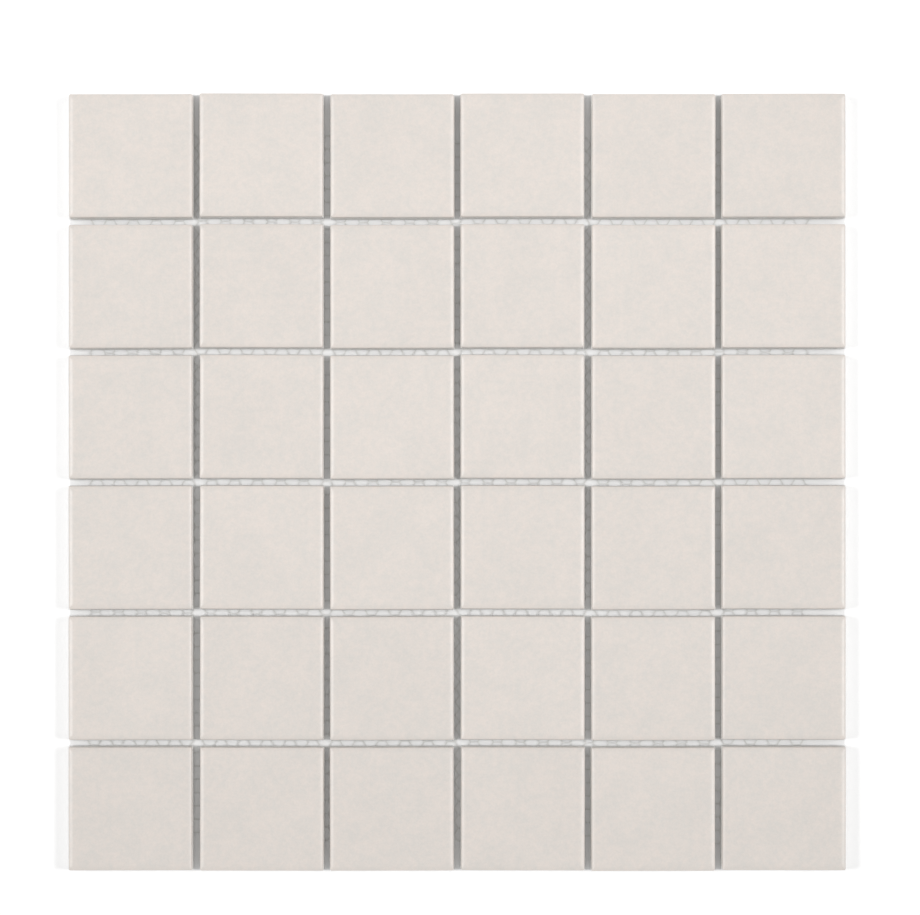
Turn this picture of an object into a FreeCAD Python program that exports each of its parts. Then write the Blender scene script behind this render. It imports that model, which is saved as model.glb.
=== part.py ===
import FreeCAD, Part
import math
import os
import Sketcher
from FreeCAD import Vector

# Mosaic tile sheet: square ceramic chips with cushioned edges, laid face up in rows with
# open joints, and held together by one honeycomb net glued to their backs.
# Frame: millimetres, +Z up, the origin under the middle of the sheet on the net's underside.
# Row 1 is the back row (+Y) and column 1 is the left one (-X).

# Driving dimensions: name, value and what it is. Counts are whole numbers.
SIZES = (
    ("tile_side", 47.8, "side of one chip, over the feet of its walls"),
    ("tile_thickness", 6.0, "chip, back to face"),
    ("joint_width", 2.2, "open joint between the feet of two chips"),
    ("tiles_across", 6, "chips along X"),
    ("tiles_deep", 6, "chips along Y"),
    ("corner_radius", 0.6, "upright corners of a chip"),
    ("foot_height", 2.0, "upright foot of the walls, above which they lean in to the face"),
    ("wall_lean", 0.35, "how far in the walls have come where they meet the face"),
    ("glaze_run", 2.9, "how far in from the foot the face starts to fall"),
    ("glaze_fall", 0.9, "how far the face falls by the time it meets the wall"),
    ("nose_radius", 0.3, "tight round where the fallen face turns into the wall"),
    ("back_chamfer", 0.4, "bevel round the chip's back"),
    ("lay_offset", 0.15, "most that a chip is laid off its grid place"),
    ("lay_turn", 0.12, "most that a chip is laid out of square, in degrees"),
    ("net_thickness", 0.4, "net, under the chips"),
    ("cell_side", 2.95, "side of a net cell, along the middle of its strands"),
    ("strand_width", 0.5, "strand of the net, across"),
    ("net_columns", 62, "columns of net cells"),
    ("net_rows", 53, "cells in the taller columns"),
    ("net_inset_left", 9.0, "sheet's left wall to the middle of the net's front left cell"),
    ("net_inset_front", 11.9, "sheet's front wall to the net's front left corner"),
    ("net_turn", 0.5, "how far the net is laid out of square, clockwise from above, in degrees"),
    ("band_columns", 4, "columns of cells in one band of the net, an even count"),
    ("block_rows", 4, "cells up one block of a band"),
)
SHEET = "sizes"
TURN_SALT = 4.0
Y_SALT = 2.0
REACH = 2.0


def make_sizes(doc):
    """Puts the driving dimensions in a spreadsheet, one alias each."""
    sheet = doc.addObject("Spreadsheet::Sheet", SHEET)
    for line, (name, value, meaning) in enumerate(SIZES, start=1):
        sheet.set(f"A{line}", name)
        sheet.set(f"B{line}", str(value))
        sheet.set(f"C{line}", meaning)
        sheet.setAlias(f"B{line}", name)
    doc.recompute()
    return sheet


def origin_plane(body, role):
    """One of a body's own origin planes, found by its role."""
    return next(f for f in body.Origin.OriginFeatures if f.Role == role)


def sketch_on(body, name, role):
    """An empty sketch on one of the body's origin planes."""
    sketch = body.newObject("Sketcher::SketchObject", name)
    sketch.AttachmentSupport = [(origin_plane(body, role), "")]
    sketch.MapMode = "FlatFace"
    return sketch


def bind(sketch, kind, *where, size):
    """Adds a dimension at its drawn value, then ties it to a formula on the sheet."""
    if kind == "Radius":
        drawn = sketch.Geometry[where[0]].Radius
    else:
        reach = sketch.getPoint(*where[2:]) - sketch.getPoint(*where[:2])
        drawn = reach.x if kind == "DistanceX" else reach.y
    index = sketch.addConstraint(Sketcher.Constraint(kind, *where, drawn))
    sketch.setExpression(f"Constraints[{index}]", size)


def draw_footprint(body, sizes):
    """The chip seen from above: a square about the origin with rounded corners."""
    sketch = sketch_on(body, "footprint", "XY_Plane")
    half = sizes.tile_side / 2
    inner = half - sizes.corner_radius
    spots = [Vector(inner, -inner, 0), Vector(inner, inner, 0)]
    spots += [Vector(-inner, inner, 0), Vector(-inner, -inner, 0)]
    arcs = []
    for corner, spot in enumerate(spots):
        circle = Part.Circle(spot, Vector(0, 0, 1), sizes.corner_radius)
        start = math.radians(90 * (corner - 1))
        arcs.append(sketch.addGeometry(Part.ArcOfCircle(circle, start, start + math.pi / 2)))
    walls = []
    for corner, arc in enumerate(arcs):
        follower = arcs[(corner + 1) % len(arcs)]
        begin = sketch.getPoint(arc, 2)
        end = sketch.getPoint(follower, 1)
        wall = sketch.addGeometry(Part.LineSegment(begin, end))
        sketch.addConstraint(Sketcher.Constraint("Tangent", arc, 2, wall, 1))
        sketch.addConstraint(Sketcher.Constraint("Tangent", wall, 2, follower, 1))
        walls.append(wall)
    for first, second in zip(arcs, arcs[1:]):
        sketch.addConstraint(Sketcher.Constraint("Equal", first, second))
    sketch.addConstraint(Sketcher.Constraint("Vertical", walls[0]))
    sketch.addConstraint(Sketcher.Constraint("Horizontal", walls[1]))
    sketch.addConstraint(Sketcher.Constraint("Symmetric", arcs[0], 3, arcs[2], 3, -1, 1))
    bind(sketch, "Radius", arcs[0], size=f"{SHEET}.corner_radius")
    core = f"{SHEET}.tile_side - 2 * {SHEET}.corner_radius"
    bind(sketch, "DistanceX", arcs[3], 3, arcs[0], 3, size=core)
    bind(sketch, "DistanceY", arcs[0], 3, arcs[1], 3, size=core)
    return sketch


def draw_edge_waste(body, sizes):
    """What is pressed away at one side, seen along Y: the face falls on a wide arc, turns into the
    wall on a tight one, and the wall leans out down to its foot. The rest stands clear."""
    sketch = sketch_on(body, "edge_waste", "XZ_Plane")
    wall = sizes.tile_side / 2
    face = sizes.tile_thickness
    foot = sizes.foot_height
    run, fall, nose = sizes.glaze_run, sizes.glaze_fall, sizes.nose_radius
    shoulder = Vector(wall - sizes.wall_lean, face - fall, 0)
    lean = math.atan2(sizes.wall_lean, shoulder.y - foot)
    nose_middle = shoulder - Vector(math.cos(lean), math.sin(lean), 0) * nose
    reach = nose_middle.x - (wall - run)
    depth = face - nose_middle.y
    crown = (reach**2 + depth**2 - nose**2) / (2 * (depth - nose))
    crown_middle = Vector(wall - run, face - crown, 0)
    meet = math.atan2(nose_middle.y - crown_middle.y, reach)
    up = Vector(0, 0, 1)
    crown_arc = Part.ArcOfCircle(Part.Circle(crown_middle, up, crown), meet, math.pi / 2)
    nose_arc = Part.ArcOfCircle(Part.Circle(nose_middle, up, nose), lean, meet)
    clear = [shoulder, Vector(wall, foot, 0), Vector(wall + REACH, foot, 0)]
    clear += [Vector(wall + REACH, face + REACH, 0), Vector(wall - run, face + REACH, 0)]
    clear.append(Vector(wall - run, face, 0))
    over = sketch.addGeometry(crown_arc)
    turn = sketch.addGeometry(nose_arc)
    lines = [sketch.addGeometry(Part.LineSegment(a, b)) for a, b in zip(clear, clear[1:])]
    slope, shelf, outer, top, drop = lines
    sketch.addConstraint(Sketcher.Constraint("Tangent", over, 1, turn, 2))
    sketch.addConstraint(Sketcher.Constraint("Tangent", turn, 1, slope, 1))
    for first, second in zip(lines, lines[1:]):
        sketch.addConstraint(Sketcher.Constraint("Coincident", first, 2, second, 1))
    sketch.addConstraint(Sketcher.Constraint("Horizontal", shelf))
    sketch.addConstraint(Sketcher.Constraint("Vertical", outer))
    sketch.addConstraint(Sketcher.Constraint("Horizontal", top))
    sketch.addConstraint(Sketcher.Constraint("Vertical", drop))
    # The wide arc lies flat to the face where it meets it.
    sketch.addConstraint(Sketcher.Constraint("Perpendicular", drop, 2, over, 2))
    bind(sketch, "Radius", turn, size=f"{SHEET}.nose_radius")
    bind(sketch, "DistanceX", over, 2, slope, 2, size=f"{SHEET}.glaze_run")
    bind(sketch, "DistanceY", turn, 1, over, 2, size=f"{SHEET}.glaze_fall")
    bind(sketch, "DistanceX", turn, 1, slope, 2, size=f"{SHEET}.wall_lean")
    bind(sketch, "DistanceX", -1, 1, slope, 2, size=f"{SHEET}.tile_side / 2")
    bind(sketch, "DistanceY", -1, 1, slope, 2, size=f"{SHEET}.foot_height")
    bind(sketch, "DistanceY", -1, 1, over, 2, size=f"{SHEET}.tile_thickness")
    bind(sketch, "DistanceX", shelf, 1, shelf, 2, size=f"{REACH}")
    bind(sketch, "DistanceY", over, 2, drop, 1, size=f"{REACH}")
    return sketch


def make_chip(doc, sizes):
    """The pattern chip that all the others repeat: its back on Z = 0, its middle on the origin."""
    body = doc.addObject("PartDesign::Body", "chip")
    footprint = draw_footprint(body, sizes)
    slab = body.newObject("PartDesign::Pad", "slab")
    slab.Profile = footprint
    slab.setExpression("Length", f"{SHEET}.tile_thickness")
    doc.recompute()
    back = [f"Edge{n}" for n, e in enumerate(slab.Shape.Edges, 1) if e.BoundBox.ZMax < REACH / 2]
    bevel = body.newObject("PartDesign::Chamfer", "back_bevel")
    bevel.Base = (slab, back)
    bevel.setExpression("Size", f"{SHEET}.back_chamfer")
    doc.recompute()
    waste = draw_edge_waste(body, sizes)
    edge = body.newObject("PartDesign::Pocket", "soft_edge")
    edge.Profile = waste
    edge.Type = "ThroughAll"
    edge.SideType = "Symmetric"
    doc.recompute()
    edges = body.newObject("PartDesign::PolarPattern", "soft_edges")
    edges.Originals = [edge]
    edges.Axis = (next(f for f in body.Origin.OriginFeatures if f.Role == "Z_Axis"), [""])
    edges.Angle = 360
    edges.Occurrences = 4
    body.Tip = edges
    doc.recompute()
    check_cut(slab.Shape.Volume, bevel.Shape.Volume, edge.Shape.Volume, edges.Shape.Volume)
    return body


def check_cut(*volumes):
    """Each step of the chip has to take something away."""
    if any(after >= before for before, after in zip(volumes, volumes[1:])):
        raise RuntimeError(f"a cut took nothing off the chip: {volumes}")


def lay_error(row, column, salt=0.0):
    """How far off, from -1 to 1, a hand-laid chip lies: scattered, and the same at each run."""
    return math.sin(12.9 * row + 78.2 * column + salt)


def repeat(doc, original, name):
    """A body of its own that has the shape of another one."""
    body = doc.addObject("PartDesign::Body", name)
    body.Label = name
    base = doc.addObject("PartDesign::FeatureBase", f"{name}_copy")
    base.BaseFeature = original
    body.Group = [base]
    body.Tip = base
    return body


def lay_chips(doc, sizes, chip):
    """Repeats the chip at each place of the grid, each laid a little off it. Returns the bodies."""
    across = int(sizes.tiles_across)
    deep = int(sizes.tiles_deep)
    pitch = f"({SHEET}.tile_side + {SHEET}.joint_width)"
    bodies = []
    for row in range(1, deep + 1):
        for column in range(1, across + 1):
            body = repeat(doc, chip, f"tile_r{row}_c{column}")
            nudge_x = f"{SHEET}.lay_offset * {lay_error(row, column):.3f}"
            nudge_y = f"{SHEET}.lay_offset * {lay_error(row, column, Y_SALT):.3f}"
            turn = f"{SHEET}.lay_turn * {lay_error(row, column, TURN_SALT):.3f}"
            steps_x = f"({column} - ({SHEET}.tiles_across + 1) / 2)"
            steps_y = f"(({SHEET}.tiles_deep + 1) / 2 - {row})"
            body.setExpression("Placement.Base.x", f"{pitch} * {steps_x} + {nudge_x}")
            body.setExpression("Placement.Base.y", f"{pitch} * {steps_y} + {nudge_y}")
            body.setExpression("Placement.Base.z", f"{SHEET}.net_thickness")
            body.setExpression("Placement.Rotation.Angle", turn)
            bodies.append(body)
    return bodies


class Honeycomb:
    """The plane geometry of the net. Columns of hexagonal cells stand side by side with flat
    strands at each cell's front and back, and every second column is half a cell further back."""

    def __init__(self, sizes):
        self.side = sizes.cell_side
        self.strand = sizes.strand_width
        self.rows = int(sizes.net_rows)
        self.block = int(sizes.block_rows)
        self.step = 1.5 * self.side
        self.half_cell = self.side * math.sqrt(3) / 2
        self.opening = self.side - self.strand / math.sqrt(3)
        self.rim = self.side + self.strand / math.sqrt(3)

    def middles(self, column):
        """The cells' middles up one column, from the net's front end. Shifted columns have one less."""
        shifted = column % 2
        first = self.half_cell + self.strand / 2 + shifted * self.half_cell
        return [first + 2 * self.half_cell * cell for cell in range(self.rows - shifted)]

    def cell(self, column, middle):
        """The corners of one opening, clockwise from its right one."""
        turns = [math.radians(-60 * corner) for corner in range(6)]
        x = column * self.step
        return [(x + self.opening * math.cos(t), middle + self.opening * math.sin(t)) for t in turns]

    def block_spans(self):
        """Where a band is cut across into blocks: always halfway up the slanting strands."""
        depth = self.strand + 2 * self.half_cell * self.rows
        first = self.strand / 2 + self.half_cell / 2
        cuts = [first + 2 * self.half_cell * cell for cell in range(self.block, self.rows, self.block)]
        return list(zip([0.0, *cuts], [*cuts, depth]))

    def end_run(self, column, end):
        """The stretch of the net's front (end -1) or back (end 1) edge at one column, left to right."""
        middles = self.middles(column)
        middle = middles[0] if end < 0 else middles[-1]
        y = middle + end * (self.half_cell + self.strand / 2)
        reach = self.side - self.rim / 2 if column % 2 else self.rim / 2
        x = column * self.step
        return [(x - reach, y), (x + reach, y)]

    def end_path(self, columns, end, open_left, open_right):
        """The whole front or back edge of a band. It is cut square at its first and last column,
        but for a side where the net itself ends and its outer cells stand open."""
        path = [p for column in range(columns + 1) for p in self.end_run(column, end)]
        width = columns * self.step
        y_left, y_right = path[0][1], path[-1][1]
        path[0] = (-self.rim / 2 if open_left else 0.0, y_left)
        path[-1] = (width + self.rim / 2 if open_right else width, y_right)
        return path

    def cut_side(self, column, inward):
        """The half openings up one side of a band, where it is cut through a column of cells."""
        path = []
        for middle in self.middles(column):
            corners = sorted(self.cell(column, middle), key=lambda p: p[1])
            front, centre, back = corners[:2], corners[2:4], corners[4:]
            kept = [sorted(pair, key=lambda p: p[0] * inward)[-1] for pair in (front, centre, back)]
            x = column * self.step
            path += [(x, kept[0][1]), *kept, (x, kept[2][1])]
        return path

    def open_side(self, column, outward):
        """The zigzag up one side of the net: out round each cell, and in where two of them meet."""
        path = []
        x = column * self.step
        for middle in self.middles(column):
            path.append((x + outward * self.rim, middle))
            path.append((x + outward * (self.rim - self.side / 2), middle + self.half_cell))
        return path[:-1]

    def band(self, columns, open_left, open_right):
        """One band of the net as a flat face: its outline, then the whole openings in it."""
        front, back = (self.end_path(columns, end, open_left, open_right) for end in (-1, 1))
        right = self.open_side(columns, 1) if open_right else self.cut_side(columns, -1)
        left = self.open_side(0, -1) if open_left else self.cut_side(0, 1)
        loops = [[*front, *right, *reversed(back), *reversed(left)]]
        first = 0 if open_left else 1
        last = columns if open_right else columns - 1
        for column in range(first, last + 1):
            loops += [self.cell(column, middle) for middle in self.middles(column)]
        wires = [Part.makePolygon([Vector(x, y, 0) for x, y in loop + loop[:1]]) for loop in loops]
        return Part.Face(wires)


def make_band(doc, comb, name, outline):
    """The pattern that like bands of the net repeat, its front on Y = 0. It is fused from blocks
    that are a few cells deep, and keeps their seams, so that no face is large."""
    left, width = outline.BoundBox.XMin, outline.BoundBox.XLength
    blocks = []
    for number, (front, back) in enumerate(comb.block_spans(), start=1):
        plan = doc.addObject("Part::Feature", f"{name}_plan_{number}")
        plan.Shape = outline.common(Part.makePlane(width, back - front, Vector(left, front, 0)))
        block = doc.addObject("Part::Extrusion", f"{name}_block_{number}")
        block.Base = plan
        block.DirMode = "Custom"
        block.Dir = Vector(0, 0, 1)
        block.Solid = True
        block.setExpression("LengthFwd", f"{SHEET}.net_thickness")
        blocks.append(block)
    band = doc.addObject("Part::MultiFuse", name)
    band.Shapes = blocks
    band.Refine = False
    doc.recompute()
    return band


def side_length(count):
    """The formula for the sheet's size along one side, over the outer walls of its chips."""
    return f"({SHEET}.{count} * ({SHEET}.tile_side + {SHEET}.joint_width) - {SHEET}.joint_width)"


def weave_net(doc, sizes):
    """The net under the chips, in bands that meet where their strands are cut. Returns the bands."""
    comb = Honeycomb(sizes)
    last = int(sizes.net_columns) - 1
    full = int(sizes.band_columns)
    patterns = {}
    bands = []
    for number, start in enumerate(range(0, last, full), start=1):
        columns = min(full, last - start)
        kind = (columns, start == 0, start + columns == last)
        if kind not in patterns:
            patterns[kind] = make_band(doc, comb, f"pattern_{len(patterns) + 1}", comb.band(*kind))
        band = doc.addObject("Part::Feature", f"net_band_{number:02d}")
        band.Label = band.Name
        band.Shape = patterns[kind].Shape
        left = f"{SHEET}.net_inset_left - {side_length('tiles_across')} / 2"
        along = f"{start} * 1.5 * {SHEET}.cell_side"
        front = f"{SHEET}.net_inset_front - {side_length('tiles_deep')} / 2"
        band.setExpression("Placement.Base.x", f"{left} + {along} * cos({SHEET}.net_turn)")
        band.setExpression("Placement.Base.y", f"{front} - {along} * sin({SHEET}.net_turn)")
        band.setExpression("Placement.Rotation.Angle", f"360 - {SHEET}.net_turn")
        bands.append(band)
    return bands


def prove(nodes):
    """Checks each sub-part's shape. One that repeats a proven shape elsewhere is proven with it."""
    proven = []
    for node in nodes:
        if node.Shape.isNull() or len(node.Shape.Solids) != 1:
            raise RuntimeError(f"{node.Label} is not one solid")
        solid = node.Shape.Solids[0]
        if any(solid.isPartner(known) for known in proven):
            continue
        if not solid.isValid():
            raise RuntimeError(f"{node.Label} is not valid")
        proven.append(solid)


def export(doc, nodes):
    """Checks every object and every sub-part, then writes one STEP file for each sub-part."""
    failed = [o.Label for o in doc.Objects if {"Invalid", "Error"} & set(o.State)]
    if failed:
        raise RuntimeError(f"objects failed to recompute: {failed}")
    prove(nodes)
    os.makedirs("parts", exist_ok=True)
    for node in nodes:
        node.Shape.exportStep(os.path.join("parts", f"{node.Label}.step"))


def main():
    doc = FreeCAD.newDocument("mosaic_tile_sheet")
    sizes = make_sizes(doc)
    chip = make_chip(doc, sizes)
    nodes = lay_chips(doc, sizes, chip)
    nodes += weave_net(doc, sizes)
    doc.recompute()
    export(doc, nodes)


main()
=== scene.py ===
"""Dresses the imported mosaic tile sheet: glazed chips on a honeycomb net, on a pale studio floor.

Everything is in metres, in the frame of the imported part: +Z up, the origin under the sheet's middle.
"""

import logging
import math
from dataclasses import dataclass, field
from enum import Enum

import bmesh
import bpy
from mathutils import Matrix, Vector, noise


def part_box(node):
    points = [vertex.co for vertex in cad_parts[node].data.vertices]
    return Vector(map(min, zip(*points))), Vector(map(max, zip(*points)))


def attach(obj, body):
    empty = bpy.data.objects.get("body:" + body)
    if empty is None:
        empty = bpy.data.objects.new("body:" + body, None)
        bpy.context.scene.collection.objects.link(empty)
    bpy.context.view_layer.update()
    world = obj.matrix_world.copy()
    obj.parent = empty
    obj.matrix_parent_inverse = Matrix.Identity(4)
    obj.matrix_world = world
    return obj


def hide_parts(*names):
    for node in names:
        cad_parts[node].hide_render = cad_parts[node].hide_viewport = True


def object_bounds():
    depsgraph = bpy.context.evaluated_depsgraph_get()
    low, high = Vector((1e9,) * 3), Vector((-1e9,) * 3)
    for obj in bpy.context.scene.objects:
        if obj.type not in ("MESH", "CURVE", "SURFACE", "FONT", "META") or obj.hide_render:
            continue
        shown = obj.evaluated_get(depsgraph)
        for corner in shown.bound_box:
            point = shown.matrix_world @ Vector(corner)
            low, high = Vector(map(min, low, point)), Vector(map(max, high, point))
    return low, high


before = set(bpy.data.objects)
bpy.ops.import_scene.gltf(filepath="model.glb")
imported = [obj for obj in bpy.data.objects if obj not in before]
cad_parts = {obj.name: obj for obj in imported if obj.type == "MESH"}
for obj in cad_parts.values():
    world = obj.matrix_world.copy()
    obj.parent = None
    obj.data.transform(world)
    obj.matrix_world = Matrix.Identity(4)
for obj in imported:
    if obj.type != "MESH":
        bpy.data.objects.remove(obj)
cad_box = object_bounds()

MM = 0.001
TINY = 1e-6
SEED = 1
log = logging.getLogger("mosaic_tile_sheet")


class Side(Enum):
    """Which side of the sheet a lamp stands on, as the sign of its X."""

    LEFT = -1
    RIGHT = 1


class Layer(Enum):
    """What a chip shows at a place: the glaze on its face or the bare clay below it."""

    GLAZE = "glaze"
    CLAY = "clay"


@dataclass
class Graph:
    """A node tree, with short ways to put nodes in it and join them.

    Attributes:
        tree: The tree that the nodes go in.
    """

    tree: bpy.types.NodeTree

    def add(self, kind: str, **settings: object) -> bpy.types.Node:
        """Adds a node.

        Args:
            kind: The node's type name.
            settings: Values of the node's own properties.

        Returns:
            The new node.
        """
        node = self.tree.nodes.new(kind)
        for name, value in settings.items():
            setattr(node, name, value)
        return node

    def feed(self, node: bpy.types.Node, **inputs: object) -> bpy.types.Node:
        """Fills a node's inputs, each with a value or with another node's output.

        Args:
            node: The node to fill.
            inputs: What goes in each input. An underscore stands for a space in its name.

        Returns:
            The same node.
        """
        for name, value in inputs.items():
            socket = node.inputs[name.replace("_", " ")]
            self.plug(value, socket)
        return node

    def plug(self, value: object, socket: bpy.types.NodeSocket) -> None:
        """Joins an output to a socket, or sets the socket where the value is a plain one."""
        if isinstance(value, bpy.types.NodeSocket):
            self.tree.links.new(value, socket)
        else:
            socket.default_value = value

    def math(self, operation: str, first: object, second: object) -> bpy.types.NodeSocket:
        """Works on two numbers.

        Args:
            operation: The sum to do, as Blender names it.
            first: A number or an output.
            second: A number or an output.

        Returns:
            The output with the result.
        """
        node = self.add("ShaderNodeMath", operation=operation)
        self.plug(first, node.inputs[0])
        self.plug(second, node.inputs[1])
        return node.outputs[0]

    def spread(
        self, value: object, low: float, high: float, to_low: object = 0.0, to_high: object = 1.0
    ) -> bpy.types.NodeSocket:
        """Maps a range smoothly onto another one.

        Args:
            value: The number that is mapped.
            low: Where the range starts.
            high: Where it ends.
            to_low: What low becomes.
            to_high: What high becomes.

        Returns:
            The output with the mapped number.
        """
        node = self.add("ShaderNodeMapRange", interpolation_type="SMOOTHSTEP")
        self.feed(node, Value=value, From_Min=low, From_Max=high, To_Min=to_low, To_Max=to_high)
        return node.outputs["Result"]

    def blend(self, amount: object, first: object, second: object) -> bpy.types.NodeSocket:
        """Mixes two colours.

        Args:
            amount: How much of the second there is, from 0 to 1.
            first: A colour or an output.
            second: A colour or an output.

        Returns:
            The output with the mixed colour.
        """
        node = self.add("ShaderNodeMix", data_type="RGBA")
        self.plug(amount, node.inputs[0])
        self.plug(first, node.inputs[6])
        self.plug(second, node.inputs[7])
        return node.outputs[2]

    def tint(self, colour: object, factor: object) -> bpy.types.NodeSocket:
        """Lightens or darkens a colour by a factor.

        Args:
            colour: A colour or an output.
            factor: What the colour is multiplied by.

        Returns:
            The output with the changed colour.
        """
        node = self.add("ShaderNodeVectorMath", operation="SCALE")
        plain = isinstance(colour, tuple)
        self.plug(colour[:3] if plain else colour, node.inputs[0])
        self.plug(factor, node.inputs["Scale"])
        return node.outputs[0]

    def clouds(self, place: object, size: float, low: float, high: float) -> bpy.types.NodeSocket:
        """Puts in the shared cloudy pattern.

        Args:
            place: The output with the place on the surface.
            size: How large one cloud is, in metres.
            low: The pattern's lowest value.
            high: The pattern's highest value.

        Returns:
            The output with the pattern's value.
        """
        node = self.add("ShaderNodeGroup", node_tree=cloud_group())
        self.feed(node, Place=place, Size=size, Low=low, High=high)
        return node.outputs["Value"]


def cloud_group() -> bpy.types.NodeTree:
    """Gives the shared group for a soft cloudy pattern, and makes it the first time.

    Returns:
        The group: Place, Size, Low and High go in, and Value comes out.
    """
    name = "soft_clouds"
    if name in bpy.data.node_groups:
        return bpy.data.node_groups[name]
    tree = bpy.data.node_groups.new(name, "ShaderNodeTree")
    tree.interface.new_socket("Place", in_out="INPUT", socket_type="NodeSocketVector")
    for label in ("Size", "Low", "High"):
        tree.interface.new_socket(label, in_out="INPUT", socket_type="NodeSocketFloat")
    tree.interface.new_socket("Value", in_out="OUTPUT", socket_type="NodeSocketFloat")
    graph = Graph(tree)
    taken = graph.add("NodeGroupInput").outputs
    density = graph.math("DIVIDE", 1.0, taken["Size"])
    pattern = graph.add("ShaderNodeTexNoise", noise_dimensions="3D")
    graph.feed(pattern, Vector=taken["Place"], Scale=density, Detail=3.0, Roughness=0.55)
    value = graph.spread(pattern.outputs[0], 0.28, 0.72, taken["Low"], taken["High"])
    graph.plug(value, graph.add("NodeGroupOutput").inputs["Value"])
    return tree


def new_material(name: str) -> tuple[bpy.types.Material, Graph, bpy.types.Node]:
    """Makes an empty material with a Principled shader.

    Args:
        name: What the material is called.

    Returns:
        The material, its graph and its shader.
    """
    material = bpy.data.materials.new(name)
    material.use_nodes = True
    material.node_tree.nodes.clear()
    graph = Graph(material.node_tree)
    shader = graph.add("ShaderNodeBsdfPrincipled")
    output = graph.add("ShaderNodeOutputMaterial")
    graph.plug(shader.outputs[0], output.inputs["Surface"])
    return material, graph, shader


@dataclass(frozen=True)
class Ceramic:
    """A pressed chip's finish: warm white satin glaze over its face and down its walls to a wavering
    line, and bare clay below that.

    Attributes:
        cream: The glaze where it is warmest.
        grey: The glaze where it is coolest.
        clay: The bare body.
        pitch: Chip to chip, so that each chip has a tone of its own.
        tone_range: How far a chip's tone is from the mean.
        grain: Size of the glaze's faint mottling.
        glaze_line: Height at which the glaze ends on the walls.
        glaze_waver: How far that line wanders up and down.
        glaze_roughness: Roughness of the satin glaze.
        clay_roughness: Roughness of the bare clay.
    """

    cream: tuple[float, float, float, float] = (0.789, 0.720, 0.668, 1.0)
    grey: tuple[float, float, float, float] = (0.717, 0.681, 0.641, 1.0)
    clay: tuple[float, float, float, float] = (0.86, 0.85, 0.83, 1.0)
    pitch: float = 50 * MM
    tone_range: float = 0.008
    grain: float = 2.2 * MM
    glaze_line: float = 4.2 * MM
    glaze_waver: float = 0.5 * MM
    glaze_roughness: float = 0.36
    clay_roughness: float = 0.82

    def chip_tone(self, graph: Graph, place: bpy.types.NodeSocket) -> bpy.types.NodeSocket:
        """Gives each chip one tone, read from which place of the grid it is in.

        Args:
            graph: The material's graph.
            place: The output with the place on the surface.

        Returns:
            The output with the tone, around 1.
        """
        snap = graph.add("ShaderNodeVectorMath", operation="SNAP")
        graph.plug(place, snap.inputs[0])
        graph.plug((self.pitch, self.pitch, 1.0), snap.inputs[1])
        chance = graph.add("ShaderNodeTexWhiteNoise", noise_dimensions="3D")
        graph.feed(chance, Vector=snap.outputs[0])
        low, high = 1.0 - self.tone_range, 1.0 + self.tone_range
        return graph.spread(chance.outputs["Value"], 0.0, 1.0, low, high)

    def glazed(self, graph: Graph, place: bpy.types.NodeSocket) -> bpy.types.NodeSocket:
        """Finds where there is glaze: 1 above the wavering line, 0 below it."""
        height = graph.add("ShaderNodeSeparateXYZ")
        graph.feed(height, Vector=place)
        waver = graph.clouds(place, 6 * MM, -self.glaze_waver, self.glaze_waver)
        level = graph.math("ADD", height.outputs["Z"], waver)
        edge = 0.15 * MM
        return graph.spread(level, self.glaze_line - edge, self.glaze_line + edge)

    def colours(self, graph: Graph, place: bpy.types.NodeSocket) -> dict[Layer, bpy.types.NodeSocket]:
        """Makes the colour of each layer.

        Args:
            graph: The material's graph.
            place: The output with the place on the surface.

        Returns:
            The output with each layer's colour.
        """
        fine = graph.clouds(place, self.grain, 0.0, 0.5)
        broad = graph.clouds(place, 4 * self.grain, 0.0, 0.5)
        warmth = graph.math("ADD", fine, broad)
        drift = graph.clouds(place, 30 * MM, 0.992, 1.008)
        speckle = graph.clouds(place, self.grain / 3, 0.98, 1.02)
        tone = graph.math("MULTIPLY", self.chip_tone(graph, place), drift)
        glaze = graph.blend(warmth, self.grey, self.cream)
        glaze = graph.tint(glaze, graph.math("MULTIPLY", tone, speckle))
        clay = graph.tint(self.clay, graph.clouds(place, 0.5 * MM, 0.88, 1.08))
        return {Layer.GLAZE: glaze, Layer.CLAY: clay}

    def build(self) -> bpy.types.Material:
        """Makes the material."""
        material, graph, shader = new_material("glazed_ceramic")
        place = graph.add("ShaderNodeTexCoord").outputs["Object"]
        mask = self.glazed(graph, place)
        colour = self.colours(graph, place)
        base = graph.blend(mask, colour[Layer.CLAY], colour[Layer.GLAZE])
        satin = graph.clouds(place, 1.4 * MM, self.glaze_roughness - 0.04, self.glaze_roughness + 0.04)
        roughness = graph.spread(mask, 0.0, 1.0, self.clay_roughness, satin)
        peel = graph.clouds(place, 1.1 * MM, 0.0, 0.004 * MM)
        pits = graph.clouds(place, 0.35 * MM, 0.0, 0.05 * MM)
        relief = graph.spread(mask, 0.0, 1.0, pits, peel)
        bump = graph.add("ShaderNodeBump")
        graph.feed(bump, Strength=1.0, Distance=1.0, Height=relief)
        graph.feed(shader, Base_Color=base, Roughness=roughness, Normal=bump.outputs[0])
        return material


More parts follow.
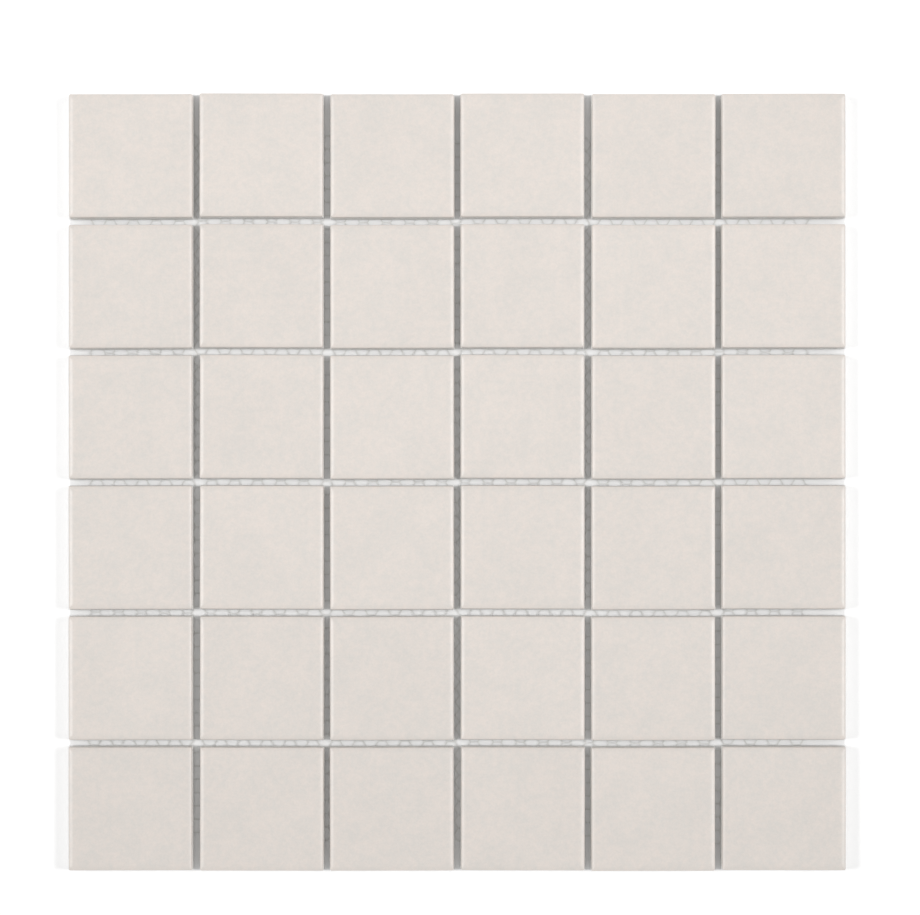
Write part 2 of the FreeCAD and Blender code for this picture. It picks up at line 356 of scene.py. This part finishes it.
@dataclass(frozen=True)
class Yarn:
    """The net's finish: white fibre, matt and a little fuzzy.

    Attributes:
        light: The fibre where it is cleanest.
        dull: The fibre in its duller patches, which lie at random.
        roughness: How matt it is.
        fuzz: How deep the fibres' relief is.
    """

    light: tuple[float, float, float, float] = (0.89, 0.89, 0.88, 1.0)
    dull: tuple[float, float, float, float] = (0.81, 0.81, 0.79, 1.0)
    roughness: float = 0.75
    fuzz: float = 0.06 * MM

    def build(self) -> bpy.types.Material:
        """Makes the material."""
        material, graph, shader = new_material("net_yarn")
        place = graph.add("ShaderNodeTexCoord").outputs["Object"]
        patchy = graph.clouds(place, 3 * MM, 0.0, 1.0)
        fibres = graph.clouds(place, 0.18 * MM, 0.92, 1.04)
        base = graph.tint(graph.blend(patchy, self.dull, self.light), fibres)
        matt = graph.clouds(place, 1 * MM, self.roughness - 0.08, self.roughness + 0.08)
        bump = graph.add("ShaderNodeBump")
        relief = graph.clouds(place, 0.22 * MM, 0.0, self.fuzz)
        graph.feed(bump, Strength=1.0, Distance=1.0, Height=relief)
        graph.feed(shader, Base_Color=base, Roughness=matt, Normal=bump.outputs[0])
        shader.inputs["Sheen Weight"].default_value = 0.15
        return material


def to_object(bm: bmesh.types.BMesh, name: str, material: bpy.types.Material) -> bpy.types.Object:
    """Turns a finished bmesh into an object at the origin.

    Args:
        bm: The mesh. It is freed.
        name: The piece's name.
        material: Its finish.

    Returns:
        The object.
    """
    for face in bm.faces:
        face.smooth = True
    mesh = bpy.data.meshes.new(name)
    bm.to_mesh(mesh)
    bm.free()
    mesh.materials.append(material)
    made = bpy.data.objects.new(name, mesh)
    bpy.context.scene.collection.objects.link(made)
    return made


def bevel(bm: bmesh.types.BMesh, edges: list[bmesh.types.BMEdge], offset: float, segments: int) -> None:
    """Rounds edges.

    Args:
        bm: The mesh that they are in.
        edges: The edges.
        offset: How far the rounding runs to each side.
        segments: How many flats it has.
    """
    bmesh.ops.bevel(
        bm, geom=edges, offset=offset, offset_type="OFFSET", segments=segments,
        profile=0.5, affect="EDGES", clamp_overlap=False, material=-1,
    )


def mark_creases(bm: bmesh.types.BMesh, limit: float) -> None:
    """Keeps edges crisp where two faces meet at more than the limit, in radians."""
    for edge in bm.edges:
        edge.smooth = edge.calc_face_angle(math.pi) < limit


@dataclass(frozen=True)
class Rim:
    """A chip's side: an upright foot, a wall that leans in above it, a tight nose that turns into
    the face, and a wide crown over which the face rises to its level.

    Attributes:
        rise: Height of the leaning wall.
        lean: How far in it has come at its top.
        run: How far in from the foot the face is level.
        fall: How far below that level the wall ends.
        nose: Radius of the nose.
    """

    rise: float = 3.1 * MM
    lean: float = 0.35 * MM
    run: float = 2.9 * MM
    fall: float = 0.9 * MM
    nose: float = 0.3 * MM

    @property
    def nose_middle(self) -> tuple[float, float]:
        """The nose's middle: in from the foot, and below the face."""
        tilt = math.atan2(self.lean, self.rise)
        return self.lean + self.nose * math.cos(tilt), self.fall + self.nose * math.sin(tilt)

    @property
    def crown(self) -> float:
        """The radius of the crown, which the nose touches smoothly."""
        inset, depth = self.nose_middle
        return ((self.run - inset) ** 2 + depth**2 - self.nose**2) / (2 * (depth - self.nose))

    @property
    def junction(self) -> float:
        """How far in from the foot the nose turns into the crown."""
        inset, depth = self.nose_middle
        return self.run - self.crown * math.cos(math.atan2(self.crown - depth, self.run - inset))

    def drop(self, inset: float) -> float:
        """How far below the face the surface lies.

        Args:
            inset: Distance in from the foot, at least the wall's lean.

        Returns:
            The drop.
        """
        if inset >= self.run:
            return 0.0
        if inset > self.junction:
            return self.crown - math.sqrt(self.crown**2 - (self.run - inset) ** 2)
        middle, depth = self.nose_middle
        return depth - math.sqrt(max(0.0, self.nose**2 - (middle - inset) ** 2))

    def rings(self, corner: float) -> list[float]:
        """Where the face is cut to follow the rim, from the wall's top inwards.

        Args:
            corner: Radius of the upright corners.

        Returns:
            The distances in from the top of the wall.
        """
        nose = [(self.junction - self.lean) * (step / 4) ** 2 for step in range(1, 5)]
        bend = [corner * step / 4 for step in range(2, 5)]
        width = self.run - self.lean
        crown = [corner + (width - corner) * step / 4 for step in range(1, 5)]
        return nose + bend + crown

    def settle(self, offset: float, half: float) -> float:
        """Moves a place on the flat face in, so that the face ends where the wall does.

        Args:
            offset: Where the place is along one axis, from the chip's middle.
            half: Half the chip's side.

        Returns:
            Where it comes to be.
        """
        inset = half - abs(offset)
        moved = self.lean + inset * (self.run - self.lean) / self.run
        return math.copysign(half - moved, offset) if inset < self.run else offset


@dataclass
class Chip:
    """One glazed chip with soft upper edges, and a waffle of shallow pockets in its back.

    Attributes:
        row: Its row, 1 at the back.
        column: Its column, 1 at the left.
        side: Its side, over its walls.
        thickness: Back to face.
        seat: Height of its back, on the net.
        rim: How its face falls to its walls.
        corner_radius: Radius of the upright corners.
        back_bevel: Bevel round the back.
        lay_turn: The most that a chip is laid out of square.
        cells: Pockets along each side of the back.
        rib: Width of the ribs between the pockets.
        pocket_depth: Depth of the pockets.
        waver: How far the walls wander inwards, as pressed and fired ones do.
        waver_reach: How far in from the walls that is felt.
    """

    row: int
    column: int
    side: float = 47.8 * MM
    thickness: float = 6 * MM
    seat: float = 0.4 * MM
    rim: Rim = field(default_factory=Rim)
    corner_radius: float = 0.6 * MM
    back_bevel: float = 0.4 * MM
    lay_turn: float = math.radians(0.12)
    cells: int = 10
    rib: float = 1.1 * MM
    pocket_depth: float = 0.35 * MM
    waver: float = 0.06 * MM
    waver_reach: float = 3 * MM

    @property
    def name(self) -> str:
        """The name of the chip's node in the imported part."""
        return f"tile_r{self.row}_c{self.column}"

    def lay_error(self, salt: float) -> float:
        """How far off, from -1 to 1, the chip was laid, as the part's source has it."""
        return math.sin(12.9 * self.row + 78.2 * self.column + salt)

    def slice(self, bm: bmesh.types.BMesh, places: list[float]) -> None:
        """Cuts the chip straight through along both axes.

        Args:
            bm: The mesh.
            places: Where the cuts are, from the chip's middle.
        """
        for axis in (Vector((1, 0, 0)), Vector((0, 1, 0))):
            for place in places:
                geom = [*bm.verts, *bm.edges, *bm.faces]
                bmesh.ops.bisect_plane(
                    bm, geom=geom, dist=TINY, plane_co=axis * place, plane_no=axis
                )

    def block(self) -> bmesh.types.BMesh:
        """Makes a square block, bevelled at its back and waffled with pockets, on the origin.

        Returns:
            The mesh.
        """
        bm = bmesh.new()
        size = Matrix.Diagonal((self.side, self.side, self.thickness, 1.0))
        bmesh.ops.create_cube(bm, size=1.0, matrix=size @ Matrix.Translation((0, 0, 0.5)))
        back = [e for e in bm.edges if all(v.co.z < TINY for v in e.verts)]
        bevel(bm, back, self.back_bevel, 2)
        step = self.side / self.cells
        self.slice(bm, [line * step - self.side / 2 for line in range(1, self.cells)])
        bm.normal_update()
        flat = [f for f in bm.faces if f.normal.z < -0.99 and f.calc_center_median().z < TINY]
        bmesh.ops.inset_individual(bm, faces=flat, thickness=self.rib / 2, depth=-self.pocket_depth)
        return bm

    def soften(self, bm: bmesh.types.BMesh) -> None:
        """Leans the walls in, lets the face fall to them, and rounds the upright corners."""
        half = self.side / 2
        spread = self.rim.run / (self.rim.run - self.rim.lean)
        cuts = [half - ring * spread for ring in self.rim.rings(self.corner_radius)]
        self.slice(bm, cuts + [-cut for cut in cuts])
        geom = [*bm.verts, *bm.edges, *bm.faces]
        foot = Vector((0.0, 0.0, self.thickness - self.rim.fall - self.rim.rise))
        bmesh.ops.bisect_plane(bm, geom=geom, dist=TINY, plane_co=foot, plane_no=(0, 0, 1))
        for vert in bm.verts:
            core = half - self.corner_radius
            if vert.co.z > self.thickness - TINY:
                vert.co.x = self.rim.settle(vert.co.x, half)
                vert.co.y = self.rim.settle(vert.co.y, half)
                vert.co.z -= self.rim.drop(half - max(abs(vert.co.x), abs(vert.co.y)))
                core -= self.rim.lean
            self.round_corner(vert, core)

    def round_corner(self, vert: bmesh.types.BMVert, core: float) -> None:
        """Moves a point near an upright corner in to the round.

        Args:
            vert: The point.
            core: How far from the chip's middle the round's own middle is, along both axes.
        """
        over = Vector((abs(vert.co.x) - core, abs(vert.co.y) - core))
        if min(over) > 0.0:
            over *= max(over) / over.length
            vert.co.x = math.copysign(core + over.x, vert.co.x)
            vert.co.y = math.copysign(core + over.y, vert.co.y)

    def unsettle(self, bm: bmesh.types.BMesh) -> None:
        """Lets the walls and the face wander a little, always inwards."""
        seed = Vector((self.row * 7.3, self.column * 3.1, 0.0))
        for vert in bm.verts:
            wander = 0.5 + 0.5 * noise.noise(vert.co / (14 * MM) + seed)
            for axis in (0, 1):
                inset = self.side / 2 - abs(vert.co[axis])
                felt = max(0.0, 1.0 - inset / self.waver_reach)
                vert.co[axis] -= math.copysign(self.waver * wander * felt, vert.co[axis])
            if vert.co.z > self.thickness / 2:
                vert.co.z -= 0.04 * MM * (0.5 + 0.5 * noise.noise(vert.co / (22 * MM) - seed))

    def build(self, pattern: bmesh.types.BMesh, finish: bpy.types.Material) -> bpy.types.Object:
        """Makes the chip in its place and lets it stand for its node.

        Args:
            pattern: The plain chip that all of them start from.
            finish: The ceramic.

        Returns:
            The piece.
        """
        bm = pattern.copy()
        self.unsettle(bm)
        low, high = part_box(self.name)
        middle = (low + high) / 2
        turn = Matrix.Rotation(self.lay_turn * self.lay_error(4.0), 4, "Z")
        place = Matrix.Translation((middle.x, middle.y, self.seat)) @ turn
        bmesh.ops.transform(bm, matrix=place, verts=bm.verts)
        mark_creases(bm, math.radians(38))
        piece = to_object(bm, f"chip_r{self.row}_c{self.column}", finish)
        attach(piece, "root")
        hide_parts(self.name)
        return piece


@dataclass
class ChipField:
    """All the chips of the sheet.

    Attributes:
        rows: Chips along Y.
        columns: Chips along X.
        finish: What they are made of.
    """

    rows: int = 6
    columns: int = 6
    finish: Ceramic = field(default_factory=Ceramic)

    def build(self) -> list[bpy.types.Object]:
        """Makes the chips.

        Returns:
            The pieces.
        """
        ceramic = self.finish.build()
        pattern = Chip(1, 1).block()
        Chip(1, 1).soften(pattern)
        bmesh.ops.recalc_face_normals(pattern, faces=pattern.faces)
        places = [(r, c) for r in range(1, self.rows + 1) for c in range(1, self.columns + 1)]
        pieces = [Chip(row, column).build(pattern, ceramic) for row, column in places]
        pattern.free()
        log.info("%d chips", len(pieces))
        return pieces


@dataclass
class BackingNet:
    """The honeycomb net that holds the chips by their backs.

    Attributes:
        cell_side: Side of a cell, along the middle of its strands.
        strand: Width of a strand.
        thickness: Height of the net.
        shoulder: Height of a strand's sides.
        columns: Columns of cells.
        rows: Cells in the taller columns.
        turn: How far the net is laid out of square.
        waver: How far the yarn wanders.
        finish: What the net is made of.
    """

    cell_side: float = 2.95 * MM
    strand: float = 0.5 * MM
    thickness: float = 0.4 * MM
    shoulder: float = 0.3 * MM
    columns: int = 62
    rows: int = 53
    turn: float = math.radians(-0.5)
    waver: float = 0.07 * MM
    finish: Yarn = field(default_factory=Yarn)

    @property
    def nodes(self) -> list[str]:
        """The names of the net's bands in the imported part."""
        return sorted(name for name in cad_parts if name.startswith("net_band_"))

    def column_of_cells(self, bm: bmesh.types.BMesh, column: int, pitch: float) -> None:
        """Lays one column of flat cells.

        Args:
            bm: The mesh that they go in.
            column: Which column it is. Every second one is half a cell further back.
            pitch: Depth of a cell.
        """
        shifted = column % 2
        middle = (1.5 * self.cell_side * column, pitch / 2 * (1 + shifted), 0.0)
        place = Matrix.Translation(middle) @ Matrix.Rotation(math.radians(30), 4, "Z")
        cell = bmesh.ops.create_circle(
            bm, cap_ends=True, segments=6, radius=self.cell_side, matrix=place
        )
        faces = {f for v in cell["verts"] for f in v.link_faces}
        edges = {e for v in cell["verts"] for e in v.link_edges}
        bmesh.ops.spin(
            bm, geom=[*cell["verts"], *edges, *faces], angle=0.0, axis=(0, 0, 1),
            dvec=(0, pitch, 0), steps=self.rows - shifted - 1, use_duplicate=True,
        )

    def weave(self) -> bmesh.types.BMesh:
        """Makes the net of plain strands, lying flat about Z = 0.

        Returns:
            The mesh.
        """
        bm = bmesh.new()
        pitch = math.sqrt(3) * self.cell_side
        for column in range(self.columns):
            self.column_of_cells(bm, column, pitch)
        bmesh.ops.remove_doubles(bm, verts=bm.verts, dist=0.05 * MM)
        bmesh.ops.wireframe(
            bm, faces=bm.faces, thickness=self.strand, use_replace=True,
            use_boundary=True, use_even_offset=True,
        )
        return bm

    def lay(self, bm: bmesh.types.BMesh) -> None:
        """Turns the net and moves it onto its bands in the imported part."""
        bmesh.ops.rotate(bm, verts=bm.verts, matrix=Matrix.Rotation(self.turn, 3, "Z"))
        corners = [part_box(name)[0] for name in self.nodes]
        shift = [
            min(corner[axis] for corner in corners) - min(vert.co[axis] for vert in bm.verts)
            for axis in (0, 1)
        ]
        bmesh.ops.translate(bm, vec=(*shift, 0.0), verts=bm.verts)

    def shape_strands(self, bm: bmesh.types.BMesh) -> None:
        """Gives the strands their section, pressed nearly flat on the chips' side and round below,
        lets the yarn wander and sets the net on the ground."""
        for vert in bm.verts:
            if abs(vert.co.z) < TINY:
                vert.co.z = self.shoulder
            else:
                vert.co.z = self.thickness if vert.co.z > 0.0 else 0.0
            drift = noise.noise_vector(vert.co / (1.5 * MM)) * self.waver
            vert.co += Vector((drift.x, drift.y, 0.0))

    def build(self) -> bpy.types.Object:
        """Makes the net in its place and lets it stand for its bands.

        Returns:
            The piece.
        """
        bm = self.weave()
        self.lay(bm)
        self.shape_strands(bm)
        bmesh.ops.recalc_face_normals(bm, faces=bm.faces)
        mark_creases(bm, math.radians(60))
        triangles = sum(len(f.verts) - 2 for f in bm.faces)
        piece = to_object(bm, "backing_net", self.finish.build())
        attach(piece, "root")
        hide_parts(*self.nodes)
        log.info("backing net, %d triangles", triangles)
        return piece


@dataclass
class Studio:
    """The pale floor, the two soft lamps, the soft light all round and the camera.

    Attributes:
        floor_size: Side of the floor.
        floor_colour: Its colour.
        floor_lift: How much paler than that the camera sees it round the sheet.
        painted_shade_joint_lift: How pale the camera sees the floor under the sheet and in its joints.
            It is kept lower than floor_lift, so the floor there is darker, which is painted shade.
        ambient: Strength of the light all round.
        lamp_power: Power of each lamp, in watts.
        lamp_reach: How far off the lamps stand.
        lamp_rise: How high over the floor they are seen from the sheet, in degrees.
        lamp_width: Size of a lamp along Y.
        lamp_height: Size of a lamp across that.
        lamp_beam: How wide its light opens, in degrees.
        lamp_back: How far towards the back rows it stands, so that the front ones are a little dimmer.
        camera_height: Camera over the chips' faces.
        camera_foot: The point straight under the camera.
        view_width: Width of what the camera sees, at the chips' faces.
        view_centre_y: Y of the middle of the picture.
    """

    floor_size: float = 8.0
    floor_colour: tuple[float, float, float, float] = (0.95, 0.95, 0.95, 1.0)
    floor_lift: float = 1.24
    painted_shade_joint_lift: float = 1.0
    ambient: float = 0.52
    lamp_power: float = 0.97
    lamp_reach: float = 2.0
    lamp_rise: float = 41.0
    lamp_width: float = 1.0
    lamp_height: float = 0.6
    lamp_beam: float = 34.0
    lamp_back: float = 0.14
    camera_height: float = 0.98
    camera_foot: tuple[float, float] = (1.0 * MM, -26.1 * MM)
    view_width: float = 351.5 * MM
    view_centre_y: float = 9.4 * MM
    face_height: float = 6.4 * MM

    def clear_of_painted_shade(self, graph: Graph, place: bpy.types.NodeSocket) -> bpy.types.NodeSocket:
        """Finds where the floor is clear of the sheet: 0 under it and in its joints, where the floor is
        kept darker as painted shade, and 1 round it.

        Args:
            graph: The floor material's graph.
            place: The output with the place on the floor.

        Returns:
            The output with the mask.
        """
        axes = graph.add("ShaderNodeSeparateXYZ")
        graph.feed(axes, Vector=place)
        sideways = graph.math("ABSOLUTE", axes.outputs["X"], 0.0)
        endways = graph.math("ABSOLUTE", axes.outputs["Y"], 0.0)
        reach = graph.math("MAXIMUM", sideways, endways)
        edge = max(cad_box[1].x, cad_box[1].y)
        return graph.spread(reach, edge - 0.5 * MM, edge + 0.5 * MM)

    def floor(self) -> bpy.types.Object:
        """Makes the floor that the sheet lies on.

        Returns:
            The floor.
        """
        material, graph, shader = new_material("studio_floor")
        place = graph.add("ShaderNodeTexCoord").outputs["Object"]
        tone = graph.clouds(place, 0.2, 0.995, 1.0)
        seen = graph.add("ShaderNodeLightPath").outputs["Is Camera Ray"]
        # Round the sheet the camera sees the floor lifted. Under the sheet and in its joints it is
        # lifted less, which is painted shade.
        lift_and_painted_shade = graph.spread(self.clear_of_painted_shade(graph, place), 0.0, 1.0, self.painted_shade_joint_lift, self.floor_lift)
        shown = graph.math("MULTIPLY", tone, graph.spread(seen, 0.0, 1.0, 1.0, lift_and_painted_shade))
        graph.feed(shader, Base_Color=graph.tint(self.floor_colour, shown), Roughness=0.9)
        shader.inputs["Specular IOR Level"].default_value = 0.0
        bm = bmesh.new()
        bmesh.ops.create_grid(bm, x_segments=8, y_segments=8, size=self.floor_size / 2)
        made = to_object(bm, "studio_floor", material)
        return made

    def surround(self) -> None:
        """Makes the soft light all round, which a camera or a mirror sees as white."""
        world = bpy.data.worlds.new("studio")
        world.use_nodes = True
        world.node_tree.nodes.clear()
        graph = Graph(world.node_tree)
        rays = graph.add("ShaderNodeLightPath").outputs
        seen = graph.math("MAXIMUM", rays["Is Camera Ray"], rays["Is Glossy Ray"])
        seen = graph.math("MAXIMUM", seen, rays["Is Transmission Ray"])
        light = graph.add("ShaderNodeBackground")
        strength = graph.spread(seen, 0.0, 1.0, self.ambient, 1.0)
        graph.feed(light, Color=(1.0, 1.0, 1.0, 1.0), Strength=strength)
        output = graph.add("ShaderNodeOutputWorld")
        graph.plug(light.outputs[0], output.inputs["Surface"])
        bpy.context.scene.world = world

    def lamp(self, side: Side) -> bpy.types.Object:
        """Stands one soft lamp beside the sheet.

        Args:
            side: Which side it stands on.

        Returns:
            The lamp.
        """
        data = bpy.data.lights.new(f"lamp_{side.name.lower()}", "AREA")
        data.shape = "RECTANGLE"
        data.size = self.lamp_width
        data.size_y = self.lamp_height
        data.energy = self.lamp_power
        data.spread = math.radians(self.lamp_beam)
        made = bpy.data.objects.new(data.name, data)
        rise = math.radians(self.lamp_rise)
        place = Vector((side.value * math.cos(rise), 0.0, math.sin(rise))) * self.lamp_reach
        made.location = place + Vector((0.0, self.lamp_back, 0.0))
        aim = Matrix((
            (0.0, -side.value * math.sin(rise), side.value * math.cos(rise)),
            (side.value, 0.0, 0.0),
            (0.0, math.cos(rise), math.sin(rise)),
        ))
        made.rotation_euler = aim.to_euler()
        made.visible_camera = False
        bpy.context.scene.collection.objects.link(made)
        return made

    def camera(self) -> bpy.types.Object:
        """Hangs the camera straight over the sheet, as the photograph was taken.

        Returns:
            The camera.
        """
        data = bpy.data.cameras.new("camera")
        data.sensor_width = 36.0
        data.lens = data.sensor_width * self.camera_height / self.view_width
        data.shift_y = (self.view_centre_y - self.camera_foot[1]) / self.view_width
        made = bpy.data.objects.new("camera", data)
        made.location = (*self.camera_foot, self.camera_height + self.face_height)
        data.clip_start = 0.01
        data.clip_end = 50.0
        bpy.context.scene.collection.objects.link(made)
        bpy.context.scene.camera = made
        return made

    def build(self) -> None:
        """Sets up the whole studio."""
        self.floor()
        self.surround()
        for side in Side:
            self.lamp(side)
        self.camera()
        bpy.context.scene.view_settings.view_transform = "Standard"
        log.info("studio")


def main() -> None:
    """Builds the sheet and the studio round it."""
    logging.basicConfig(level=logging.INFO)
    noise.seed_set(SEED)
    ChipField().build()
    BackingNet().build()
    Studio().build()


if __name__ == "__main__":
    main()
